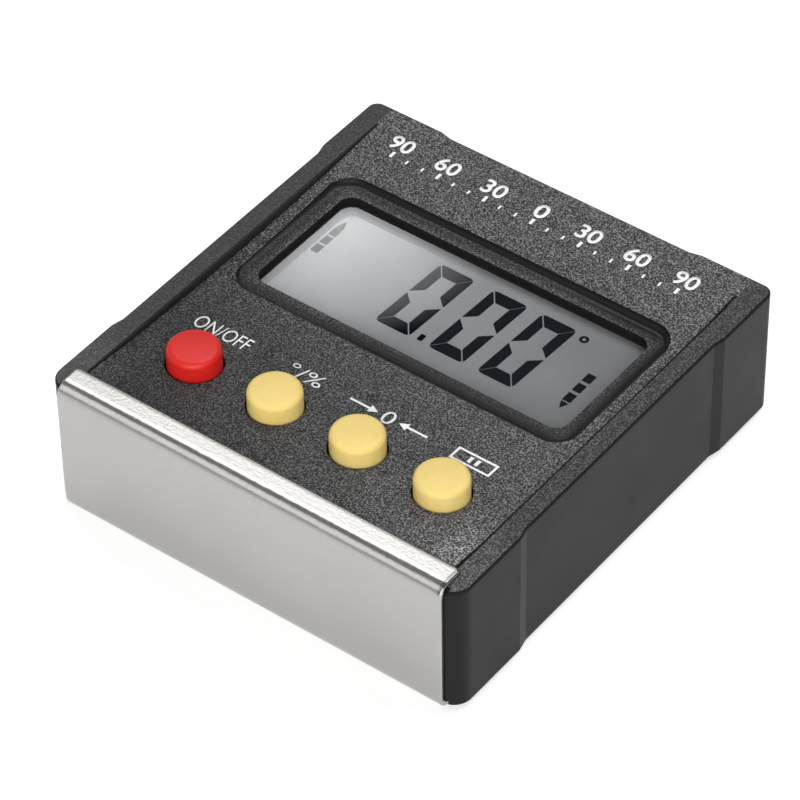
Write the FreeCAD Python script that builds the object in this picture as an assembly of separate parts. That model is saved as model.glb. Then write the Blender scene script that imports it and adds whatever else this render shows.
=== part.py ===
import FreeCAD, Part
import math
import os

# Mini digital protractor. It lies on its back: +Z is the way the display faces, +X runs along
# the steel base and the base itself looks towards -Y. Lengths are millimetres. The model is
# laid out with Y counted from the outer face of the steel, and place() then moves the origin
# to the middle of the footprint, at the lowest face.

Vec = FreeCAD.Vector

# ---- Overall size --------------------------------------------------------------------------------
width = 60.0              # over the two rails
depth = 64.3              # from the face of the steel to the back of the housing
channel_height = 20.0     # over the two flanges of the steel
over_cut = 1.0            # how far a cutting tool reaches past the face it opens
tolerance = 0.01          # for picking out edges and faces by where they lie

# ---- Steel channel and its film of adhesive ------------------------------------------------------
sheet = 0.6
adhesive = 0.1
channel_end = 2.0         # from each end of the steel to the side of the housing
flange_depth = 4.15
bend_radius = 1.9         # outside of the bend
flange_corner = 0.7
steel_round = 0.3         # all round the outline of the outer face
seat_share = 0.7          # chamfer on the plastic, as a share of the radius inside the bend
seat_end_gap = 0.4        # chamfer past each end of the steel

# ---- Housing shell -------------------------------------------------------------------------------
shell_bottom = sheet + adhesive
shell_front = sheet + adhesive
wall = 2.0
front_corner = 2.5
back_corner = 1.4
inner_corner = 1.0
edge_round = 0.25
rail_width = 3.1
dish_end = 4.95           # from each end of the dished panel to the front or back face
dish_drop = 1.1           # how far the panel lies below the rails at its middle
panel_wall = 1.5          # panel thickness at its lowest point
groove_width = 0.15       # line along the foot of each rail
groove_depth = 0.2
rail_bevel = 0.2          # width of the bevel on the inner edge of each rail
rail_bevel_drop = 0.2     # depth of that bevel at the middle of the rail

# ---- Shallow grips in the two sides and in the back ----------------------------------------------
grip_depth = 0.4
grip_ramp = 1.7
side_grip_front = 12.6
side_grip_back = 10.6     # from the back face
back_grip_end = 10.4      # from the side

# ---- Display opening and the recess round it -----------------------------------------------------
opening_end = 7.25        # from the side of the housing to the opening
opening_depth = 19.0
opening_corner = 1.8
display_back = 24.5       # from the middle of the opening to the back face
ledge_drop = 0.3          # ledge round the opening, below the lowest point of the panel
ledge_x = 2.5             # margin of the recess past the opening, left and right
ledge_front = 2.8
ledge_back = 2.4
recess_corner = 3.5
recess_cove = 1.0

# ---- Display cell, window, holder and elastomer strip --------------------------------------------
window_rebate = 0.4       # how far the window goes up into the underside of the panel
window_gap = 0.1
window_thickness = 0.75
tape_thickness = 0.15     # black adhesive frame under the window
tape_inset = 0.1          # from the opening to the inner edge of the tape
film = 0.15               # each polariser
glass = 1.0               # each sheet of glass
cell_margin_x = 1.85      # glass past the opening, left and right
cell_margin_back = 2.0
cell_margin_front = 3.05
contact_ledge = 2.2       # front glass past the rear glass, where the contacts are
holder_gap = 0.15
holder_wall = 1.2
holder_shelf = 0.4
shelf_width = 1.1
strip_width = 1.6
strip_inset = 0.2
strip_end_gap = 1.4
tray_clearance = 0.15     # holder above the battery tray

# ---- Push buttons --------------------------------------------------------------------------------
key_names = ["power", "unit", "zero", "hold"]
key_end = 11.85           # from the side of the housing to the middle of the outer button
key_y = 13.65
key_radius = 3.35
key_gap = 0.25
key_proud = 2.95          # top of the crown above the panel
key_crown = 0.25          # how far the top is domed
key_round = 0.8
key_travel = 1.0
collar_radius = 4.3
collar_thickness = 0.8
collar_gap = 0.1

# ---- Circuit board and the silicone mat on it ----------------------------------------------------
board_thickness = 1.6
board_drop = 5.3          # from the underside of the panel to the top of the board
board_side_gap = 0.5
board_front = 5.4
board_tray_gap = 2.05     # from the board to the battery tray behind it
board_corner = 1.0
mat_thickness = 1.0
mat_margin_x = 4.75
mat_margin_y = 4.9
mat_corner = 2.0
dome_foot = 4.2
dome_hollow = 3.75
dome_post = 2.6
dome_stem = 1.9
dome_shoulder = 1.5       # height of the dome's slope above the mat
dome_skin = 0.45
pill_radius = 1.5
pill_thickness = 0.4
pill_clearance = 0.05

# ---- Components on the underside of the board, with the places of their middles ------------------
chip_side = 7.0
chip_height = 1.2
chip_lift = 0.1
chip_legs = 8
leg_pitch = 0.8
leg_width = 0.3
leg_reach = 1.0
leg_thickness = 0.2
chip_x = 2.0
sensor_side = 5.0
sensor_height = 1.5
sensor_pads = 4
pad_reach = 0.25
sensor_x = -12.0
chip_row = 7.5            # chip and sensor in front of the row of capacitors
can_radius = 1.5
can_length = 8.0
can_x = 10.5
can_row = 9.5             # start of the can in front of the row of capacitors
capacitor_size = (2.0, 1.25, 0.9)
capacitor_xs = [-18.0, -14.5, -6.0, 7.2, 13.8, 17.0]
capacitor_inset = 7.3     # from the back edge of the board
resistor_size = (1.6, 0.8, 0.45)
resistor_pitch = 3.2
resistor_count = 8
resistor_inset = 2.6      # from the front edge of the board
lead_hole_inset = 1.5     # from the back edge of the board
red_hole_end = 3.4        # from the side of the housing
black_hole_end = 5.8

# ---- Fasteners -----------------------------------------------------------------------------------
screw_radius = 1.0
screw_clearance = 0.03
head_radius = 1.9
head_height = 1.2
head_round = 0.4
head_recess = 0.4         # heads of the cover's screws below its outer face
head_gap = 0.15
slot_width = 0.5
slot_depth = 0.6
slot_half = 1.15          # half the length of the cross in a head
boss_radius = 2.1
cover_screw_grip = 4.6    # how far a cover screw reaches into its boss
board_screw_grip = 3.6
hole_spare = 0.6          # pilot hole past the end of the screw
cover_boss_end = 5.4      # from the side of the housing
cover_boss_front = 6.8
cover_boss_back = 4.8     # in front of the back edge of the board
board_boss_end = 4.7      # from the side of the housing
board_boss_front = 11.0
board_boss_back = 3.6     # in front of the display's holder
boss_board_gap = 0.2

# ---- Magnets behind the steel --------------------------------------------------------------------
magnet_names = ["left", "middle", "right"]
magnet_end = 12.5         # from the end of the steel to the middle of the outer magnet
magnet_radius = 5.0
magnet_thickness = 2.5
magnet_gap = 0.1
pocket_wall = 0.8

# ---- Batteries, contacts, springs and leads ------------------------------------------------------
cell_headroom = 0.2       # above the cells in their tray
cap_radius = 1.9
cap_height = 1.0
cell_round = 0.5
cell_spacing = 1.1        # between the two cells
cell_gap = 0.2
contact_sheet = 0.3
contact_half = 4.0
dimple_height = 0.8
dimple_radius = 2.0
dimple_top = 1.0
spring_length = 4.0       # room for a spring, from its contact to the cell
spring_play = 0.3
spring_wire = 0.25        # radius of the wire
spring_big = 3.2
spring_small = 2.2
spring_turns = 3.0
lead_radius = 0.5
lead_clearance = 0.1
lead_step = 1.5           # one lead below the other where they cross under the board
lead_climb = 0.5          # rise of each lead on its way to its hole
bend_share = 0.45         # of the shorter run, taken up by a bend in a lead
tab_width = 2.4
tab_reach = 1.5           # solder tab past the end wall of the tray
tab_drop = 1.2            # solder tab below the axis of the cells

# ---- Back cover and battery door -----------------------------------------------------------------
cover_thickness = 2.0
cover_gap = 0.15
lip_gap = 0.4
lip_step = 0.9
tray_wall = 0.9
tray_end_gap = 1.85       # from the tray to the end of the cover
door_thickness = 1.5
door_gap = 0.12
door_margin = 1.1         # door narrower than the tray, each side
tongue_reach = 1.0
tongue_thickness = 0.65
door_end_gap = 0.1
door_cell_gap = 0.25
hook_width = 1.6
hook_reach = 1.1
hook_thickness = 1.0
thumb_ribs = 6
rib_pitch = 1.5
rib_width = 0.7
rib_depth = 0.3
rib_length = 16.0
rib_inset = 4.0
arrow_length = 5.0
arrow_half = 3.6
arrow_gap = 3.0

# ---- Places and levels worked out from the sizes above -------------------------------------------
channel_width = width - 2 * channel_end
rail_top = channel_height - sheet - adhesive
ceiling = rail_top - dish_drop - panel_wall
dish_y = depth / 2
dish_half = depth / 2 - dish_end
dish_radius = (dish_half**2 + dish_drop**2) / (2 * dish_drop)
ledge_top = rail_top - dish_drop - ledge_drop
display_y = depth - display_back
opening_width = width - 2 * opening_end

seat_chamfer = seat_share * (bend_radius - sheet)
rail_bevel_radius = (dish_half**2 + rail_bevel_drop**2) / (2 * rail_bevel_drop)
window_top = ceiling + window_rebate
window_bottom = window_top - window_thickness
cell_top = window_bottom - tape_thickness
front_glass_top = cell_top - film
rear_glass_top = front_glass_top - glass
reflector_top = rear_glass_top - glass
cell_bottom = reflector_top - film
glass_x = opening_width / 2 + cell_margin_x
glass_front = display_y - opening_depth / 2 - cell_margin_front
glass_back = display_y + opening_depth / 2 + cell_margin_back
holder_bottom = cell_bottom - holder_shelf
holder_x = glass_x + holder_gap + holder_wall
holder_front = glass_front - holder_gap - holder_wall
holder_back = glass_back + holder_gap + holder_wall
strip_front = glass_front + strip_inset
strip_x = glass_x - strip_end_gap

cover_side = width / 2 - wall - cover_gap
cover_back = depth - wall - cover_gap
cover_seat = head_recess + head_height
tray_ceiling = holder_bottom - tray_clearance - tray_wall
tray_half = cover_side - tray_end_gap - tray_wall
tray_back = cover_back - tray_wall
battery_radius = (tray_ceiling - cell_headroom - door_thickness - door_cell_gap) / 2
battery_length = 2 * tray_half - 2 * contact_sheet - spring_length - spring_play - dimple_height
battery_z = door_thickness + door_cell_gap + battery_radius
tray_front = tray_back - 2 * cell_gap - 4 * battery_radius - cell_spacing
battery_ys = [tray_front + cell_gap + battery_radius, tray_back - cell_gap - battery_radius]
tab_z = battery_z - tab_drop
door_y = tray_front
door_half = tray_half - door_margin
door_back = depth - grip_depth - door_end_gap
groove_top = door_thickness + door_gap
tongue_bottom = door_thickness - tongue_thickness

board_back = tray_front - tray_wall - board_tray_gap
board_top = ceiling - board_drop
board_bottom = board_top - board_thickness
capacitor_y = board_back - capacitor_inset
chip_y = capacitor_y - chip_row
can_y = capacitor_y - can_row
resistor_y = board_front + resistor_inset
lead_hole_y = board_back - lead_hole_inset
red_hole_x = red_hole_end - width / 2
black_hole_x = black_hole_end - width / 2
cover_boss_x = width / 2 - cover_boss_end
cover_boss_ys = [cover_boss_front, board_back - cover_boss_back]
board_boss_x = width / 2 - board_boss_end
board_boss_ys = [board_boss_front, holder_front - board_boss_back]

key_pitch = (width - 2 * key_end) / (len(key_names) - 1)
key_xs = [(i - (len(key_names) - 1) / 2) * key_pitch for i in range(len(key_names))]
collar_top = ceiling - collar_gap
collar_bottom = collar_top - collar_thickness
mat_top = board_top + mat_thickness
pill_bottom = board_top + key_travel + pill_clearance
pill_top = pill_bottom + pill_thickness

magnet_pitch = (channel_width - 2 * magnet_end) / (len(magnet_names) - 1)
magnet_xs = [(i - (len(magnet_names) - 1) / 2) * magnet_pitch for i in range(len(magnet_names))]
magnet_z = channel_height / 2
pocket_depth = magnet_thickness + magnet_gap


# ---- Small helpers -------------------------------------------------------------------------------
def box(x0, x1, y0, y1, z0, z1):
    return Part.makeBox(x1 - x0, y1 - y0, z1 - z0, Vec(x0, y0, z0))


def post(x, y, z0, z1, radius):
    return Part.makeCylinder(radius, z1 - z0, Vec(x, y, z0))


def prism(points, direction):
    """Solid swept along direction from the closed polygon through points."""
    wire = Part.makePolygon(points + points[:1])
    return Part.Face(wire).extrude(direction)


def turned(profile, x, y):
    """Solid of revolution about the upright line at x, y; profile lists radius and height."""
    points = [Vec(radius, 0, z) for radius, z in profile]
    face = Part.Face(Part.makePolygon(points + points[:1]))
    solid = face.revolve(Vec(0, 0, 0), Vec(0, 0, 1), 360)
    solid.translate(Vec(x, y, 0))
    return solid


def joined(first, others):
    return first.multiFuse(others).removeSplitter()


def is_upright(edge):
    low = edge.BoundBox
    return max(low.XLength, low.YLength) < tolerance < low.ZLength


def rounded_box(x0, x1, y0, y1, z0, z1, radius):
    block = box(x0, x1, y0, y1, z0, z1)
    return block.makeFillet(radius, [edge for edge in block.Edges if is_upright(edge)])


def edges_at_height(shape, z):
    return [edge for edge in shape.Edges
            if abs(edge.BoundBox.ZMin - z) < tolerance and edge.BoundBox.ZLength < tolerance]


def edges_along_x(shape, y):
    """Edges that run along X, no further back than y."""
    return [edge for edge in shape.Edges
            if edge.BoundBox.XLength > tolerance and edge.BoundBox.YMax < y + tolerance]


def panel_height(y):
    """Height of the dished panel at y."""
    return rail_top - dish_drop + dish_radius - math.sqrt(dish_radius**2 - (y - dish_y)**2)


def both_sides(x):
    return [-x, x]


# ---- Steel channel -------------------------------------------------------------------------------
def channel_section():
    """C-shaped section of the bent sheet, at its left end."""
    left = -channel_width / 2
    outer = box(left, left + over_cut, 0, flange_depth, 0, channel_height)
    outer = outer.makeFillet(bend_radius, edges_along_x(outer, 0))
    inner = box(left, left + over_cut, sheet, flange_depth + over_cut, sheet, channel_height - sheet)
    inner = inner.makeFillet(bend_radius - sheet, edges_along_x(inner, sheet))
    ends = [face for face in outer.cut(inner).Faces if face.BoundBox.XMax < left + tolerance]
    return ends[0]


def base_channel():
    channel = channel_section().extrude(Vec(channel_width, 0, 0))
    corners = [edge for edge in channel.Edges
               if is_upright(edge) and edge.BoundBox.YMin > flange_depth - tolerance]
    channel = channel.makeFillet(flange_corner, corners)
    outline = [edge for edge in edges_at_height(channel, channel_height)
               if edge.BoundBox.YMin > flange_depth - tolerance]
    return channel.makeFillet(steel_round, outline)


def base_adhesive():
    half = channel_width / 2 - sheet
    return box(-half, half, sheet, shell_front, shell_bottom + bend_radius, rail_top - bend_radius)


# ---- Housing -------------------------------------------------------------------------------------
def grip_outline(start, end):
    """Section of a grip: the first value runs along the wall, the second is outwards."""
    flare = grip_ramp * over_cut / grip_depth
    return [(start - flare, over_cut), (start + grip_ramp, -grip_depth),
            (end - grip_ramp, -grip_depth), (end + flare, over_cut)]


def grips():
    rise = Vec(0, 0, channel_height + 2 * over_cut)
    side = grip_outline(side_grip_front, depth - side_grip_back)
    back = grip_outline(back_grip_end - width / 2, width / 2 - back_grip_end)
    right = [Vec(width / 2 + out, along, -over_cut) for along, out in side]
    left = [Vec(-width / 2 - out, along, -over_cut) for along, out in side]
    rear = [Vec(along, depth + out, -over_cut) for along, out in back]
    return [prism(points, rise) for points in (right, left, rear)]


def housing_block():
    block = box(-width / 2, width / 2, shell_front, depth, shell_bottom, rail_top)
    front = [edge for edge in block.Edges if is_upright(edge) and edge.BoundBox.YMax < depth / 2]
    block = block.makeFillet(front_corner, front)
    rear = [edge for edge in block.Edges if is_upright(edge) and edge.BoundBox.YMin > depth - tolerance]
    block = block.makeFillet(back_corner, rear)
    block = block.cut(grips())
    rims = edges_at_height(block, rail_top) + edges_at_height(block, shell_bottom)
    return block.makeFillet(edge_round, rims)


def dish():
    """Lying cylinder that hollows the panel between the rails."""
    half = width / 2 - rail_width
    axis = Vec(-half, dish_y, rail_top - dish_drop + dish_radius)
    return Part.makeCylinder(dish_radius, 2 * half, axis, Vec(1, 0, 0))


def rail_grooves():
    """Narrow lines along the foot of each rail, which follow the dish a little deeper."""
    half = width / 2 - rail_width
    middle = rail_top - dish_drop - groove_depth + dish_radius
    return [Part.makeCylinder(dish_radius, groove_width, Vec(x, dish_y, middle), Vec(1, 0, 0))
            for x in (-half, half - groove_width)]


def rail_bevels():
    """Shallow cones that take the inner edge off each rail, most at its middle."""
    half = width / 2 - rail_width
    middle = rail_top - rail_bevel_drop + rail_bevel_radius
    return [Part.makeCone(rail_bevel_radius, rail_bevel_radius - rail_bevel_drop, rail_bevel,
                          Vec(side * half, dish_y, middle), Vec(side, 0, 0)) for side in (-1, 1)]


def window_seat():
    """Rebate in the underside of the panel that the window is fitted in."""
    half = holder_x + window_gap
    return rounded_box(-half, half, holder_front - window_gap, holder_back + window_gap,
                       ceiling - over_cut, window_top, inner_corner)


def display_recess():
    half_x = opening_width / 2 + ledge_x
    half_y = opening_depth / 2
    block = rounded_box(-half_x, half_x, display_y - half_y - ledge_front, display_y + half_y + ledge_back,
                        ledge_top, rail_top + over_cut, recess_corner)
    return block.makeFillet(recess_cove, edges_at_height(block, ledge_top))


def display_opening():
    half_x = opening_width / 2
    half_y = opening_depth / 2
    return rounded_box(-half_x, half_x, display_y - half_y, display_y + half_y,
                       ceiling - over_cut, rail_top + over_cut, opening_corner)


def seat_chamfers():
    """Strips cut off the two front edges, where the bends of the steel pass."""
    half = channel_width / 2 + seat_end_gap
    run = Vec(2 * half, 0, 0)
    cutters = []
    for edge_z, inwards in ((rail_top, -1), (shell_bottom, 1)):
        reach = seat_chamfer + over_cut
        points = [Vec(-half, shell_front - over_cut, edge_z - inwards * over_cut),
                  Vec(-half, shell_front + reach, edge_z - inwards * over_cut),
                  Vec(-half, shell_front - over_cut, edge_z + inwards * reach)]
        cutters.append(prism(points, run))
    return cutters


def cavity():
    return rounded_box(wall - width / 2, width / 2 - wall, shell_front + wall, depth - wall,
                       shell_bottom - over_cut, ceiling, inner_corner)


def cover_bosses():
    """Posts on the side walls that take the cover's screws."""
    top = board_bottom - boss_board_gap
    solids = []
    for x in both_sides(cover_boss_x):
        for y in cover_boss_ys:
            solids.append(post(x, y, cover_thickness, top, boss_radius))
            outer = math.copysign(width / 2 - wall / 2, x)
            solids.append(box(min(x, outer), max(x, outer), y - boss_radius, y + boss_radius,
                              cover_thickness, top))
    return solids


def board_bosses():
    """Posts under the panel that take the board's screws."""
    return [post(x, y, board_top, ceiling + panel_wall / 2, boss_radius)
            for x in both_sides(board_boss_x) for y in board_boss_ys]


def magnet_bosses():
    length = pocket_depth + pocket_wall
    radius = magnet_radius + magnet_gap + pocket_wall
    return [Part.makeCylinder(radius, length, Vec(x, shell_front, magnet_z), Vec(0, 1, 0))
            for x in magnet_xs]


def magnet_pockets():
    start = shell_front - over_cut
    return [Part.makeCylinder(magnet_radius + magnet_gap, pocket_depth + over_cut,
                              Vec(x, start, magnet_z), Vec(0, 1, 0)) for x in magnet_xs]


def pilot_holes():
    radius = screw_radius + screw_clearance
    cover_end = cover_thickness + cover_screw_grip + hole_spare
    board_end = board_top + board_screw_grip + hole_spare
    holes = [post(x, y, cover_thickness - over_cut, cover_end, radius)
             for x in both_sides(cover_boss_x) for y in cover_boss_ys]
    holes += [post(x, y, board_top - over_cut, board_end, radius)
              for x in both_sides(board_boss_x) for y in board_boss_ys]
    return holes


def hook_centre():
    return (door_half + tongue_reach + door_gap + cover_side) / 2


def hook_slots():
    """Slots in the back wall for the cover's two hooks."""
    half = hook_width / 2 + cover_gap
    top = cover_thickness + cover_gap
    return [box(x - half, x + half, depth - wall - over_cut, depth - wall + hook_reach,
                cover_thickness - hook_thickness - cover_gap, top) for x in both_sides(hook_centre())]


def door_passage():
    half = door_half + tongue_reach + door_gap
    return box(-half, half, depth - wall - over_cut, depth + over_cut, shell_bottom - over_cut, groove_top)


def front_housing():
    shell = housing_block().cut([cavity()] + seat_chamfers())
    shell = joined(shell, cover_bosses() + board_bosses() + magnet_bosses())
    key_holes = [post(x, key_y, ceiling - over_cut, rail_top + over_cut, key_radius + key_gap)
                 for x in key_xs]
    openings = [dish(), display_recess(), display_opening(), window_seat(), door_passage()]
    openings += rail_grooves() + rail_bevels()
    return shell.cut(openings + key_holes + magnet_pockets() + pilot_holes() + hook_slots())


# ---- Magnets -------------------------------------------------------------------------------------
def magnet(x):
    return Part.makeCylinder(magnet_radius, magnet_thickness, Vec(x, shell_front, magnet_z), Vec(0, 1, 0))


# ---- Window, display cell and its holder ---------------------------------------------------------
def display_window():
    return rounded_box(-holder_x, holder_x, holder_front, holder_back, window_bottom, window_top,
                       inner_corner)


def window_tape():
    body = rounded_box(-holder_x, holder_x, holder_front, holder_back, cell_top, window_bottom,
                       inner_corner)
    half_x = opening_width / 2 + tape_inset
    half_y = opening_depth / 2 + tape_inset
    return body.cut([rounded_box(-half_x, half_x, display_y - half_y, display_y + half_y,
                                 cell_top - over_cut, window_bottom + over_cut, opening_corner)])


def cell_sheet(front, low, high):
    return box(-glass_x, glass_x, front, glass_back, low, high)


def zebra_strip():
    return box(-strip_x, strip_x, strip_front, strip_front + strip_width, board_top, rear_glass_top)


def lcd_frame():
    body = rounded_box(-holder_x, holder_x, holder_front, holder_back,
                       holder_bottom, cell_top, inner_corner)
    foot_back = glass_front + contact_ledge + shelf_width
    foot = box(-holder_x, holder_x, holder_front, foot_back, board_top, holder_bottom)
    body = joined(body, [foot])
    inside = glass_x + holder_gap
    pocket = box(-inside, inside, glass_front - holder_gap, glass_back + holder_gap,
                 cell_bottom, cell_top + over_cut)
    half = glass_x - shelf_width
    hole = box(-half, half, foot_back, glass_back - shelf_width, board_top, cell_top)
    slot_x = strip_x + holder_gap
    slot = box(-slot_x, slot_x, strip_front - holder_gap, strip_front + strip_width + holder_gap,
               board_top - over_cut, cell_top)
    return body.cut([pocket, hole, slot])


# ---- Buttons, mat and pills ----------------------------------------------------------------------
def key(x):
    top = panel_height(key_y) + key_proud
    rim = top - key_crown
    dome_radius = (key_radius**2 + key_crown**2) / (2 * key_crown)
    stem = post(x, key_y, collar_bottom, top, key_radius)
    stem = stem.common(Part.makeSphere(dome_radius, Vec(x, key_y, top - dome_radius)))
    stem = stem.makeFillet(key_round, edges_at_height(stem, rim))
    collar = post(x, key_y, collar_bottom, collar_top, collar_radius)
    return joined(stem, [collar])


def dome(x):
    """One dome of the mat: a thin sloping skirt that carries a solid post."""
    slope_top = mat_top + dome_shoulder
    profile = [(dome_hollow, board_top), (dome_foot + dome_skin, board_top),
               (dome_foot + dome_skin, mat_top), (dome_foot, mat_top),
               (dome_post, slope_top), (dome_post, collar_bottom), (0, collar_bottom),
               (0, pill_top), (dome_stem, pill_top), (dome_stem, slope_top - dome_skin),
               (dome_post - dome_skin, slope_top - dome_skin), (dome_hollow, mat_top - dome_skin)]
    return turned(profile, x, key_y)


def rubber_keypad():
    half_x = key_xs[-1] + mat_margin_x
    mat = rounded_box(-half_x, half_x, key_y - mat_margin_y, key_y + mat_margin_y,
                      board_top, mat_top, mat_corner)
    mat = mat.cut([post(x, key_y, board_top - over_cut, mat_top + over_cut, dome_hollow) for x in key_xs])
    return joined(mat, [dome(x) for x in key_xs])


def pill(x):
    return post(x, key_y, pill_bottom, pill_top, pill_radius)


# ---- Circuit board and what is soldered to it ----------------------------------------------------
def circuit_board():
    half = width / 2 - wall - board_side_gap
    board = rounded_box(-half, half, board_front, board_back, board_bottom, board_top, board_corner)
    low = board_bottom - over_cut
    high = board_top + over_cut
    holes = [post(x, y, low, high, screw_radius + head_gap) for x in both_sides(board_boss_x)
             for y in board_boss_ys]
    holes += [post(x, lead_hole_y, low, high, lead_radius + lead_clearance)
              for x in (red_hole_x, black_hole_x)]
    return board.cut(holes)


def hanging_block(x, y, size):
    """Block of the given size soldered under the board, centred on x, y."""
    long, wide, tall = size
    return box(x - long / 2, x + long / 2, y - wide / 2, y + wide / 2, board_bottom - tall, board_bottom)


def microcontroller():
    x, y = chip_x, chip_y
    half = chip_side / 2
    top = board_bottom - chip_lift
    body = box(x - half, x + half, y - half, y + half, top - chip_height, top)
    legs = []
    for i in range(chip_legs):
        along = (i - (chip_legs - 1) / 2) * leg_pitch
        reach = half + leg_reach
        low = board_bottom - leg_thickness
        legs.append(box(x - reach, x + reach, y + along - leg_width / 2, y + along + leg_width / 2,
                        low, board_bottom))
        legs.append(box(x + along - leg_width / 2, x + along + leg_width / 2, y - reach, y + reach,
                        low, board_bottom))
    return joined(body, legs)


def tilt_sensor():
    x, y = sensor_x, chip_y
    body = hanging_block(x, y, (sensor_side, sensor_side, sensor_height))
    pads = []
    for i in range(sensor_pads):
        along = (i - (sensor_pads - 1) / 2) * leg_pitch
        reach = sensor_side / 2 + pad_reach
        pads.append(box(x - reach, x + reach, y + along - leg_width / 2, y + along + leg_width / 2,
                        board_bottom - leg_thickness, board_bottom))
    return joined(body, pads)


def crystal():
    x, y = can_x, can_y
    low = board_bottom - can_radius - chip_lift
    can = Part.makeCylinder(can_radius, can_length, Vec(x, y, low), Vec(0, 1, 0))
    pin = box(x - leg_width, x + leg_width, y - leg_reach, y, low - leg_width / 2, board_bottom)
    return joined(can, [pin])


def chip_capacitors():
    return Part.makeCompound([hanging_block(x, capacitor_y, capacitor_size) for x in capacitor_xs])


def chip_resistors():
    start = -(resistor_count - 1) / 2 * resistor_pitch
    return Part.makeCompound([hanging_block(start + i * resistor_pitch, resistor_y, resistor_size)
                              for i in range(resistor_count)])


# ---- Batteries and contacts ----------------------------------------------------------------------
def battery(y, towards):
    """AAA cell whose positive cap points along X, the way that towards has its sign."""
    body_length = battery_length - cap_height
    cap_end = towards * (tray_half - contact_sheet - dimple_height)
    start = Vec(cap_end - towards * battery_length, y, battery_z)
    along = Vec(towards, 0, 0)
    can = Part.makeCylinder(battery_radius, body_length, start, along)
    rims = [edge for edge in can.Edges if edge.BoundBox.XLength < tolerance]
    can = can.makeFillet(cell_round, rims)
    cap = Part.makeCylinder(cap_radius, battery_length - cell_round, start + along * cell_round, along)
    return joined(can, [cap])


def contact_plate(side, y_low, y_high):
    outer = side * tray_half
    inner = side * (tray_half - contact_sheet)
    return box(min(outer, inner), max(outer, inner), y_low, y_high,
               battery_z - contact_half, battery_z + contact_half)


def dimple(side, y):
    base = side * (tray_half - contact_sheet)
    return Part.makeCone(dimple_radius, dimple_top, dimple_height,
                         Vec(base, y, battery_z), Vec(-side, 0, 0))


def solder_tab(y):
    """Tongue that leaves the tray through its left end wall."""
    outer = -tray_half - tray_wall - tab_reach
    return box(outer, -tray_half, y - tab_width / 2, y + tab_width / 2, tab_z - contact_sheet, tab_z)


def contact_plus():
    y = battery_ys[0]
    plate = contact_plate(-1, y - contact_half, y + contact_half)
    return joined(plate, [dimple(-1, y), solder_tab(y)])


def contact_minus():
    y = battery_ys[1]
    plate = contact_plate(-1, y - contact_half, y + contact_half)
    return joined(plate, [solder_tab(y)])


def battery_bridge():
    plate = contact_plate(1, battery_ys[0] - contact_half, battery_ys[1] + contact_half)
    return joined(plate, [dimple(1, battery_ys[1])])


def spring(y, side):
    """Conical coil between a contact plate and the flat end of a cell."""
    height = spring_length + spring_play - 2 * spring_wire
    taper = math.degrees(math.atan2(spring_small - spring_big, height))
    helix = Part.makeHelix(height / spring_turns, height, spring_big, taper)
    section = Part.Wire(Part.makeCircle(spring_wire, Vec(spring_big, 0, 0), Vec(0, 1, 0)))
    coil = Part.Wire(helix).makePipeShell([section], True, True)
    coil.rotate(Vec(0, 0, 0), Vec(0, 1, 0), -side * 90)
    coil.translate(Vec(side * (tray_half - contact_sheet - spring_wire), y, battery_z))
    return coil


def lead_path(points):
    """Straight runs joined by the largest tangent arcs that they leave room for."""
    edges = []
    start = points[0]
    for before, corner, after in zip(points, points[1:], points[2:]):
        back = before - corner
        ahead = after - corner
        reach = min(back.Length, ahead.Length) * bend_share
        back.normalize()
        ahead.normalize()
        enter = corner + back * reach
        leave = corner + ahead * reach
        half_turn = (math.pi - back.getAngle(ahead)) / 2
        radius = reach / math.tan(half_turn)
        middle = back + ahead
        middle.normalize()
        crown = corner + middle * (radius / math.cos(half_turn) - radius)
        edges.append(Part.LineSegment(start, enter).toShape())
        edges.append(Part.Arc(enter, crown, leave).toShape())
        start = leave
    edges.append(Part.LineSegment(start, points[-1]).toShape())
    return Part.Wire(edges)


def lead(points):
    path = lead_path(points)
    section = Part.Wire(Part.makeCircle(lead_radius, points[0], points[1] - points[0]))
    return path.makePipeShell([section], True, False)


def lead_from(tab_y, hole_x, level):
    """Insulated lead from the front edge of a solder tab to a hole in the board."""
    x = -tray_half - tray_wall - tab_reach / 2
    z = tab_z - contact_sheet / 2
    start = Vec(x, tab_y - tab_width / 2, z)
    turn_y = (tray_front - tray_wall + board_back) / 2
    points = [start, Vec(x, tray_front, level), Vec(x, turn_y, level),
              Vec(hole_x, lead_hole_y, level + lead_climb), Vec(hole_x, lead_hole_y, board_top)]
    return lead(points)


# ---- Back cover, battery door and screws ---------------------------------------------------------
def battery_tray():
    half = tray_half + tray_wall
    return box(-half, half, tray_front - tray_wall, tray_back + tray_wall,
               cover_thickness, tray_ceiling + tray_wall)


def tray_room():
    """Room for the cells, and the slits that the solder tabs pass through."""
    room = box(-tray_half, tray_half, tray_front, tray_back, cover_thickness - over_cut, tray_ceiling)
    slits = [box(-tray_half - tray_wall - over_cut, -tray_half + over_cut,
                 y - tab_width / 2 - lead_clearance, y + tab_width / 2 + lead_clearance,
                 tab_z - contact_sheet - lead_clearance, tab_z + lead_clearance) for y in battery_ys]
    return [room] + slits


def door_way():
    """Opening under the cells, with a groove along each side for the door's tongues."""
    opening_half = door_half + door_gap
    groove_half = door_half + tongue_reach + door_gap
    back = depth
    opening = box(-opening_half, opening_half, door_y, back, -over_cut, cover_thickness + over_cut)
    grooves = box(-groove_half, groove_half, door_y, back, tongue_bottom - door_gap, groove_top)
    return [opening, grooves]


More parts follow.
